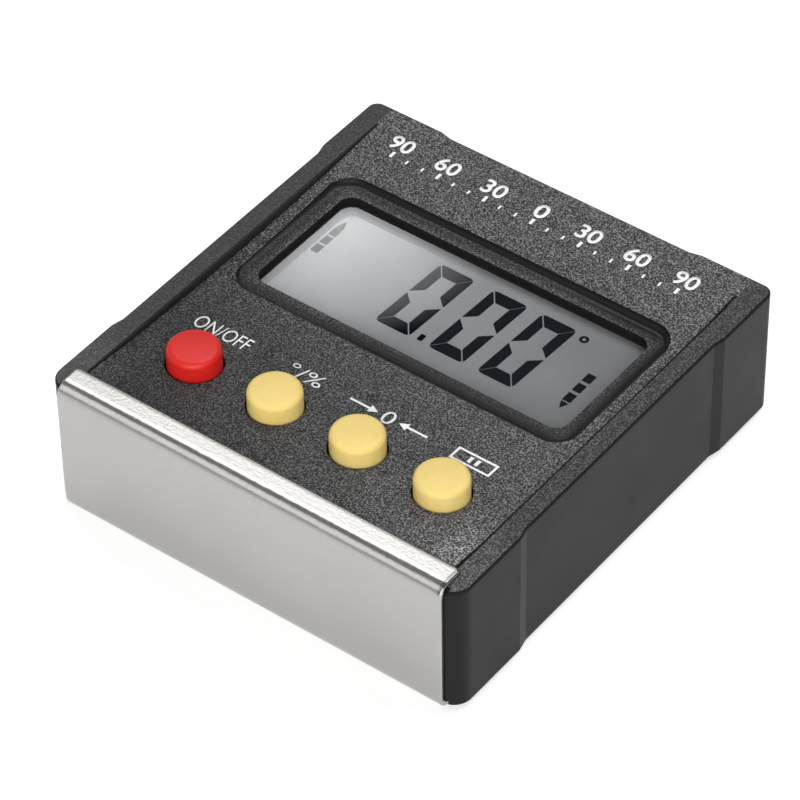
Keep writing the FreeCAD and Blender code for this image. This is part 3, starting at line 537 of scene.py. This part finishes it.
def dress_nodes():
    paint(["front_housing"], housing_material())
    paint(["back_cover", "battery_door"],
          speckled("cover_black", (0.022, 0.022, 0.0225), 0.46, 3000.0, 0.35, 0.35, 0.00005))
    paint(["base_channel"], steel_material())
    paint(["base_adhesive"], speckled("adhesive_film", (0.60, 0.60, 0.57), 0.7, 1500.0))
    paint(["magnet_left", "magnet_middle", "magnet_right"],
          drawn_metal("magnet_nickel", (0.60, 0.60, 0.62), 0.18, (1.0, 1.0, 1.0), 3000.0))
    paint(["display_window"], window_material())
    paint(["lcd_front_glass", "lcd_rear_glass"], cell_glass_material())
    paint(["lcd_reflector"],
          speckled("reflector", (0.55, 0.57, 0.56), 0.4, 2500.0, 0.1, 0.1, 0.00001, 0.6))
    # the black window tape is a real frame under the window's border, and it also stands in as
    # painted shade for the dark band beside the opening's wall
    paint(["lcd_frame", "window_tape"],
          speckled("holder_black", (0.02, 0.02, 0.02), 0.5, 2500.0, 0.3))
    paint(["zebra_strip"], elastomer_material())
    paint(["circuit_board"], board_material())
    paint(["microcontroller"], speckled("chip_black", (0.02, 0.02, 0.021), 0.55, 4000.0, 0.4))
    paint(["tilt_sensor"], speckled("sensor_grey", (0.30, 0.30, 0.31), 0.4, 3000.0, 0.15))
    paint(["crystal"], drawn_metal("can_metal", (0.66, 0.66, 0.66), 0.25, (1.0, 0.1, 1.0)))
    paint(["chip_capacitors"], speckled("capacitor_tan", (0.44, 0.31, 0.19), 0.4, 5000.0, 0.15))
    paint(["chip_resistors"], speckled("resistor_black", (0.03, 0.03, 0.03), 0.3, 5000.0, 0.3))
    paint(["rubber_keypad"], speckled("silicone_grey", (0.26, 0.26, 0.27), 0.55, 2200.0, 0.1))
    paint(["pill_power", "pill_unit", "pill_zero", "pill_hold"],
          speckled("carbon_pill", (0.015, 0.015, 0.015), 0.8, 4000.0, 0.4))
    paint(["key_power"], key_material("key_red", (0.57, 0.0140, 0.0105), (0.53, 0.011, 0.008)))
    paint(["key_unit", "key_zero", "key_hold"],
          key_material("key_yellow", (0.71, 0.550, 0.190), (0.68, 0.51, 0.163)))
    paint(["battery_front"], jacket_material("cell_jacket_front", -1))
    paint(["battery_rear"], jacket_material("cell_jacket_rear", 1))
    paint(["contact_plus", "contact_minus", "battery_bridge"],
          drawn_metal("contact_nickel", (0.66, 0.64, 0.60), 0.25, (1.0, 0.1, 1.0)))
    paint(["spring_front", "spring_rear"],
          drawn_metal("spring_steel", (0.70, 0.69, 0.67), 0.22, (0.2, 1.0, 1.0)))
    paint(["lead_red"], speckled("lead_red", (0.50, 0.02, 0.015), 0.4, 3000.0, 0.15))
    paint(["lead_black"], speckled("lead_black", (0.015, 0.015, 0.015), 0.4, 3000.0, 0.3))
    paint(["cover_screws", "board_screws"],
          drawn_metal("screw_steel", (0.42, 0.42, 0.43), 0.28, (1.0, 1.0, 0.2), 5000.0))


# ---- Mesh helpers ------------------------------------------------------------------------------
def surface_of(node):
    """Function that gives the height of the node's upper surface at x, y, in metres."""
    mesh = NODES[node].data
    tree = BVHTree.FromPolygons([vertex.co for vertex in mesh.vertices],
                                [list(face.vertices) for face in mesh.polygons])
    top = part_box(node)[1].z + MM

    def height(x, y):
        return tree.ray_cast(Vector((x, y, top)), Vector((0, 0, -1)))[0].z

    return height


def new_piece(name, mesh, material, body):
    piece = bpy.data.objects.new(name, mesh)
    bpy.context.scene.collection.objects.link(piece)
    mesh.materials.clear()
    mesh.materials.append(material)
    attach(piece, body)
    return piece


def plate_mesh(name, loops, low, high):
    """Closed thin plates, one for each loop of points in mm; low and high give heights in m."""
    mesh = bpy.data.meshes.new(name)
    shape = bmesh.new()
    for loop in loops:
        spots = [(x * MM, y * MM) for x, y in loop]
        under = [shape.verts.new((x, y, low(x, y))) for x, y in spots]
        over = [shape.verts.new((x, y, high(x, y))) for x, y in spots]
        shape.faces.new(over)
        shape.faces.new(under[::-1])
        count = len(spots)
        for i in range(count):
            j = (i + 1) % count
            shape.faces.new((under[i], under[j], over[j], over[i]))
    bmesh.ops.recalc_face_normals(shape, faces=shape.faces[:])
    shape.to_mesh(mesh)
    shape.free()
    return mesh


def inset(points, distances):
    """Points of a counter-clockwise polygon with each side moved inwards by its own distance."""
    lines = []
    for (ax, ay), (bx, by), distance in zip(points, points[1:] + points[:1], distances):
        length = math.hypot(bx - ax, by - ay)
        nx, ny = (ay - by) / length, (bx - ax) / length
        lines.append((nx, ny, nx * ax + ny * ay + distance))
    moved = []
    for (a, b, c), (d, e, f) in zip(lines[-1:] + lines[:-1], lines):
        det = a * e - b * d
        moved.append(((c * e - b * f) / det, (a * f - c * d) / det))
    return moved


def softened(points, radii, steps=4):
    """Polygon with each corner replaced by a short curve; radii are lengths cut from the sides."""
    out = []
    count = len(points)
    for i, (x, y) in enumerate(points):
        px, py = points[i - 1]
        qx, qy = points[(i + 1) % count]
        before = math.hypot(px - x, py - y)
        after = math.hypot(qx - x, qy - y)
        cut = min(radii[i], before * 0.45, after * 0.45)
        ax, ay = x + (px - x) / before * cut, y + (py - y) / before * cut
        bx, by = x + (qx - x) / after * cut, y + (qy - y) / after * cut
        for step in range(steps + 1):
            t = step / steps
            out.append(((1 - t) ** 2 * ax + 2 * t * (1 - t) * x + t * t * bx,
                        (1 - t) ** 2 * ay + 2 * t * (1 - t) * y + t * t * by))
    return out


def clipped(points, outline):
    """Part of a convex polygon that lies inside a convex outline; both counter-clockwise."""
    for (ax, ay), (bx, by) in zip(outline, outline[1:] + outline[:1]):
        depths = [(bx - ax) * (y - ay) - (by - ay) * (x - ax) for x, y in points]
        kept = []
        sides = zip(points, points[1:] + points[:1], depths, depths[1:] + depths[:1])
        for one, two, here, there in sides:
            if here >= 0:
                kept.append(one)
            if (here > 0 > there) or (here < 0 < there):
                t = here / (here - there)
                kept.append((one[0] + (two[0] - one[0]) * t, one[1] + (two[1] - one[1]) * t))
        points = kept
    return points


# ---- Display -----------------------------------------------------------------------------------
def zero_loops(left):
    """The six lit segments of a 0 whose foot starts at left."""
    width, height, across, along = DIGIT_WIDTH, DIGIT_HEIGHT, STROKE_ACROSS, STROKE_ALONG
    middle = height / 2
    upper = [(0, height), (0, middle), (across, middle + STROKE_TAPER), (across, height - along)]
    top = [(0, height), (across, height - along), (width - across, height - along), (width, height)]

    def flip_x(loop):
        return [(width - x, y) for x, y in loop][::-1]

    def flip_y(loop):
        return [(x, height - y) for x, y in loop][::-1]

    gap, close = SEGMENT_GAP / 2, CLOSE_GAP / 2
    even, side, cap = (gap, gap, gap, gap), (gap, gap, gap, close), (gap, gap, close, gap)
    outline = box_loop(gap, width - gap, gap, height - gap, DIGIT_CORNER)
    loops = []
    for loop, gaps in ((upper, even), (flip_x(upper), side), (flip_y(upper), side),
                       (flip_x(flip_y(upper)), even), (top, cap), (flip_y(top), cap)):
        radii = [SHARP_CORNER if x in (0, width) and y in (0, height) else SEGMENT_CORNER
                 for x, y in loop]
        small = softened(inset(loop, gaps), radii)
        loops.append([(left + x + y / height * DIGIT_SLANT, DIGIT_FOOT + y)
                      for x, y in clipped(small, outline)])
    return loops


def box_loop(x0, x1, y0, y1, corner):
    return softened([(x0, y0), (x1, y0), (x1, y1), (x0, y1)], [corner] * 4)


def arrow_loops(bars, head):
    """A tilt arrow of the display: its bars and its head."""
    (x0, x1), feet, height = bars
    return [box_loop(x0, x1, y, y + height, ARROW_CORNER) for y in feet] + [head]


def ring_mesh(name, x, y, outer, inner, low, high, steps=40):
    """Closed flat ring round x, y; sizes in millimetres, heights in metres."""
    mesh = bpy.data.meshes.new(name)
    shape = bmesh.new()
    rows = []
    for i in range(steps):
        turn = 2 * math.pi * i / steps
        cos, sin = math.cos(turn), math.sin(turn)
        rows.append([shape.verts.new(((x + r * cos) * MM, (y + r * sin) * MM, z))
                     for r, z in ((inner, low), (outer, low), (outer, high), (inner, high))])
    for i in range(steps):
        one, two = rows[i], rows[(i + 1) % steps]
        for k in range(4):
            shape.faces.new((one[k], two[k], two[(k + 1) % 4], one[(k + 1) % 4]))
    bmesh.ops.recalc_face_normals(shape, faces=shape.faces[:])
    shape.to_mesh(mesh)
    shape.free()
    return mesh


def dress_display():
    low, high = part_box("lcd_front_polariser")
    face_top = high.z - FACE_DROP * MM
    ink_top = face_top + INK_DEPTH * MM
    outline = box_loop(low.x / MM, high.x / MM, low.y / MM, high.y / MM, FACE_CORNER)
    mesh = plate_mesh("lcd_face", [outline], lambda x, y: low.z, lambda x, y: face_top)
    face = new_piece("lcd_face", mesh, display_material().material, "meter")
    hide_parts("lcd_front_polariser")

    ink = ink_material("display_ink", (0.0045, 0.0055, 0.0100), 0.0).material
    ink_foot = face_top - FACE_DROP * MM / 2
    digits = [loop for left in DIGIT_LEFTS for loop in zero_loops(left)]
    digits.append(box_loop(*DISPLAY_POINT, POINT_CORNER))
    for name, loops in (("lcd_digits", digits), ("lcd_degree", None),
                        ("lcd_arrow_down", arrow_loops(DOWN_BARS, DOWN_HEAD)),
                        ("lcd_arrow_up", arrow_loops(UP_BARS, UP_HEAD))):
        if loops:
            mesh = plate_mesh(name, loops, lambda x, y: ink_foot, lambda x, y: ink_top)
        else:
            mesh = ring_mesh(name, *DEGREE_PLACE, *DEGREE_RADII, ink_foot, ink_top)
        new_piece(name, mesh, ink, "meter")


# ---- Printed marks -----------------------------------------------------------------------------
def text_mesh(name, words, weight):
    """Mesh of one line of lettering, with its own outline from 0 to 1 both ways."""
    curve = bpy.data.curves.new(name, "FONT")
    curve.body = words
    curve.offset = weight
    curve.resolution_u = 6
    carrier = bpy.data.objects.new(name, curve)
    bpy.context.scene.collection.objects.link(carrier)
    bpy.context.view_layer.update()
    graph = bpy.context.evaluated_depsgraph_get()
    mesh = bpy.data.meshes.new_from_object(carrier.evaluated_get(graph))
    bpy.data.objects.remove(carrier)
    xs = [vertex.co.x for vertex in mesh.vertices]
    ys = [vertex.co.y for vertex in mesh.vertices]
    for vertex in mesh.vertices:
        vertex.co.x = (vertex.co.x - min(xs)) / (max(xs) - min(xs))
        vertex.co.y = (vertex.co.y - min(ys)) / (max(ys) - min(ys))
    return mesh


def laid_text(shape, words, box, height, weight):
    """Adds lettering that fills box (x0, x1, y0, y1 in millimetres) as a thin raised print."""
    x0, x1, y0, y1 = box
    mesh = text_mesh("lettering", words, weight)
    part = bmesh.new()
    part.from_mesh(mesh)
    bmesh.ops.remove_doubles(part, verts=part.verts[:], dist=1e-5)
    result = bmesh.ops.extrude_face_region(part, geom=part.faces[:])
    raised = {item for item in result["geom"] if isinstance(item, bmesh.types.BMVert)}
    for vertex in part.verts:
        x = (x0 + vertex.co.x * (x1 - x0)) * MM
        y = (y0 + vertex.co.y * (y1 - y0)) * MM
        lift = PRINT_RISE if vertex in raised else -PRINT_ROOT
        vertex.co = (x, y, height(x, y) + lift * MM)
    bmesh.ops.recalc_face_normals(part, faces=part.faces[:])
    joined = bpy.data.meshes.new("joined")
    part.to_mesh(joined)
    part.free()
    shape.from_mesh(joined)
    bpy.data.meshes.remove(mesh)
    bpy.data.meshes.remove(joined)


def laid_plates(shape, loops, height):
    mesh = plate_mesh("plates", loops, lambda x, y: height(x, y) - PRINT_ROOT * MM,
                      lambda x, y: height(x, y) + PRINT_RISE * MM)
    shape.from_mesh(mesh)
    bpy.data.meshes.remove(mesh)


def printed(name, draw, material):
    shape = bmesh.new()
    draw(shape)
    mesh = bpy.data.meshes.new(name)
    shape.to_mesh(mesh)
    shape.free()
    new_piece(name, mesh, material, "meter")


def bar(x0, x1, y0, y1):
    return [(x0, y0), (x1, y0), (x1, y1), (x0, y1)]


def legend_marks(height):
    """Functions that draw the print beside each button and the scale behind the display."""
    foot, top = LEGEND_Y
    middle = (top + foot) / 2
    line = LEGEND_LINE

    def power(shape):
        laid_text(shape, "ON/OFF", (*POWER_X, foot, top), height, LEGEND_WEIGHT)

    def unit(shape):
        laid_text(shape, "°/%", (*UNIT_X, foot, top), height, LEGEND_WEIGHT)

    def zero(shape):
        laid_text(shape, "0", (*ZERO_X, foot, top), height, LEGEND_WEIGHT)
        centre = sum(ZERO_X) / 2
        tip, tail = ARROW_REACH
        length, half = ARROW_HEAD
        loops = []
        for side in (-1, 1):
            near, far = centre + side * tip, centre + side * tail
            head = near + side * length
            arrow = [(near, middle), (head, middle + half), (head, middle - half)]
            loops.append(arrow if side < 0 else arrow[::-1])
            loops.append(bar(min(head, far), max(head, far), middle - line / 2, middle + line / 2))
        laid_plates(shape, loops, height)

    def hold(shape):
        x0, x1 = HOLD_X
        loops = [bar(x0, x1, top - line, top), bar(x0, x1, foot, foot + line),
                 bar(x0, x0 + line, foot + line, top - line),
                 bar(x1 - line, x1, foot + line, top - line)]
        centre = (x0 + x1) / 2
        half, apart, space = PAUSE_BAR
        loops += [bar(centre + shift - half, centre + shift + half, foot + space, top - space)
                  for shift in (-apart, apart)]
        laid_plates(shape, loops, height)

    def scale(shape):
        first, last = SCALE_X
        low, high = SCALE_Y
        loops = []
        for i in range(SCALE_STEPS + 1):
            x = first + (last - first) * i / SCALE_STEPS
            half, length = TICK if i % SCALE_LONG else LONG_TICK
            loops.append(bar(x - half, x + half, low, low + length))
        laid_plates(shape, loops, height)
        each, once = NUMBER_HALF
        for i, number in enumerate(SCALE_NUMBERS):
            x = first + (last - first) * i * SCALE_LONG / SCALE_STEPS
            half = each * len(number) + once
            box = (x - half, x + half, low + NUMBER_FOOT, high)
            laid_text(shape, number, box, height, NUMBER_WEIGHT)

    return {"print_power": power, "print_unit": unit, "print_zero": zero, "print_hold": hold,
            "print_scale": scale}


def dress_prints():
    ink = ink_material("print_ink", (0.84, 0.84, 0.83), 0.5).material
    for name, draw in legend_marks(surface_of("front_housing")).items():
        printed(name, draw, ink)


# ---- Stage -------------------------------------------------------------------------------------
def add(tree, kind, **settings):
    made = tree.nodes.new(kind)
    for key, value in settings.items():
        setattr(made, key, value)
    return made


def calculated(tree, operation, first, second):
    """Output of a Math node; first and second are numbers or outputs."""
    made = add(tree, "ShaderNodeMath", operation=operation)
    for socket, value in zip(made.inputs, (first, second)):
        if isinstance(value, float):
            socket.default_value = value
        else:
            tree.links.new(value, socket)
    return made.outputs[0]


def ranged(tree, source, *limits):
    """Map Range node; limits are its two From and its two To values, as numbers or outputs."""
    made = add(tree, "ShaderNodeMapRange")
    tree.links.new(source, made.inputs["Value"])
    for name, value in zip(RANGE_SOCKETS, limits):
        if isinstance(value, float):
            made.inputs[name].default_value = value
        else:
            tree.links.new(value, made.inputs[name])
    return made.outputs[0]


def shown_rays(tree):
    """1 for the rays that see the scene: from the camera, from gloss and through glass."""
    path = add(tree, "ShaderNodeLightPath").outputs
    first = calculated(tree, "MAXIMUM", path["Is Camera Ray"], path["Is Glossy Ray"])
    return calculated(tree, "MAXIMUM", first, path["Is Transmission Ray"])


def quad(name, corners, material):
    mesh = bpy.data.meshes.new(name)
    mesh.from_pydata(corners, [], [(0, 1, 2, 3)])
    mesh.materials.append(material)
    made = bpy.data.objects.new(name, mesh)
    bpy.context.scene.collection.objects.link(made)
    return made


def one_sided(tree, shader):
    """Passes light from behind, so that the thing can be looked through from its back."""
    mixer = add(tree, "ShaderNodeMixShader")
    tree.links.new(add(tree, "ShaderNodeNewGeometry").outputs["Backfacing"], mixer.inputs[0])
    tree.links.new(shader, mixer.inputs[1])
    tree.links.new(add(tree, "ShaderNodeBsdfTransparent").outputs[0], mixer.inputs[2])
    tree.links.new(mixer.outputs[0], tree.nodes["Material Output"].inputs["Surface"])


def level_corners(x_ends, y_ends, z):
    """Corners of a level panel that faces down."""
    (x0, x1), (y0, y1) = x_ends, y_ends
    return [(x0, y0, z), (x0, y1, z), (x1, y1, z), (x1, y0, z)]


def set_floor():
    material = bpy.data.materials.new("floor_pale")
    material.use_nodes = True
    tree = material.node_tree
    bsdf = tree.nodes["Principled BSDF"]
    for name, value in (("Base Color", (*FLOOR_COLOUR, 1.0)), ("Roughness", 1.0),
                        ("Specular IOR Level", 0.0), ("Emission Color", (1.0, 1.0, 1.0, 1.0))):
        bsdf.inputs[name].default_value = value
    glow = calculated(tree, "MULTIPLY", shown_rays(tree), FLOOR_GLOW)
    tree.links.new(glow, bsdf.inputs["Emission Strength"])
    one_sided(tree, bsdf.outputs[0])
    ends = (-FLOOR_HALF, FLOOR_HALF)
    quad("floor", level_corners(ends, ends, -FLOOR_DROP)[::-1], material)


def set_world():
    """Surroundings: plain light for the object, white behind it, dimmer higher in reflections."""
    world = bpy.data.worlds.new("studio")
    bpy.context.scene.world = world
    world.use_nodes = True
    tree = world.node_tree
    background = tree.nodes["Background"]
    background.inputs["Color"].default_value = (1.0, 1.0, 1.0, 1.0)
    split = add(tree, "ShaderNodeSeparateXYZ")
    tree.links.new(add(tree, "ShaderNodeTexCoord").outputs["Generated"], split.inputs[0])
    high = ranged(tree, split.outputs["Y"], *WORLD_TURN, *WORLD_HIGH)
    sky = ranged(tree, split.outputs["Z"], *WORLD_RISE, WORLD_LOW, high)
    strength = ranged(tree, shown_rays(tree), 0.0, 1.0, WORLD_LIGHT, sky)
    camera_ray = add(tree, "ShaderNodeLightPath").outputs["Is Camera Ray"]
    tree.links.new(calculated(tree, "MAXIMUM", strength, camera_ray), background.inputs["Strength"])


def softbox(name, corners, strength):
    """Glowing panel; strength is a number or a function that gives an output in its tree."""
    material = bpy.data.materials.new(name)
    material.use_nodes = True
    tree = material.node_tree
    tree.nodes.remove(tree.nodes["Principled BSDF"])
    glow = add(tree, "ShaderNodeEmission")
    if callable(strength):
        tree.links.new(strength(tree), glow.inputs["Strength"])
    else:
        glow.inputs["Strength"].default_value = strength
    one_sided(tree, glow.outputs[0])
    quad(name, corners, material).visible_camera = False


def brighter_right(tree):
    """Strength that grows along the overhead panel towards the right."""
    split = add(tree, "ShaderNodeSeparateXYZ")
    tree.links.new(add(tree, "ShaderNodeTexCoord").outputs["Object"], split.inputs[0])
    return ranged(tree, split.outputs["X"], *OVERHEAD_GROWTH, *OVERHEAD_POWER)


def hot_middle(tree):
    """Bright middle that fades out towards the edges of the panel."""
    distance = add(tree, "ShaderNodeVectorMath", operation="DISTANCE")
    distance.inputs[1].default_value = (*GLARE_CENTRE, SOFTBOX_HEIGHT)
    tree.links.new(add(tree, "ShaderNodeTexCoord").outputs["Object"], distance.inputs[0])
    return ranged(tree, distance.outputs["Value"], 0.0, GLARE_RADIUS, GLARE_POWER, 0.0)


def set_lights():
    glare_x, glare_y = ((middle - GLARE_RADIUS, middle + GLARE_RADIUS) for middle in GLARE_CENTRE)
    softbox("softbox_overhead", level_corners(OVERHEAD_X, OVERHEAD_Y, SOFTBOX_HEIGHT),
            brighter_right)
    softbox("softbox_bend", BEND[::-1], BEND_POWER)
    softbox("softbox_front", FRONT[::-1], FRONT_POWER)
    softbox("softbox_left", level_corners(glare_x, glare_y, SOFTBOX_HEIGHT), hot_middle)


def set_camera():
    camera = bpy.data.objects.new("camera", bpy.data.cameras.new("camera"))
    bpy.context.scene.collection.objects.link(camera)
    camera.location = CAMERA_PLACE
    camera.rotation_euler = CAMERA_TURN
    camera.data.lens = CAMERA_LENS
    camera.data.sensor_width = 36.0
    camera.data.clip_start = 0.01
    camera.data.clip_end = 20.0
    bpy.context.scene.camera = camera


dress_nodes()
dress_display()
dress_prints()
set_floor()
set_world()
set_lights()
set_camera()
bpy.context.scene.view_settings.view_transform = "Standard"
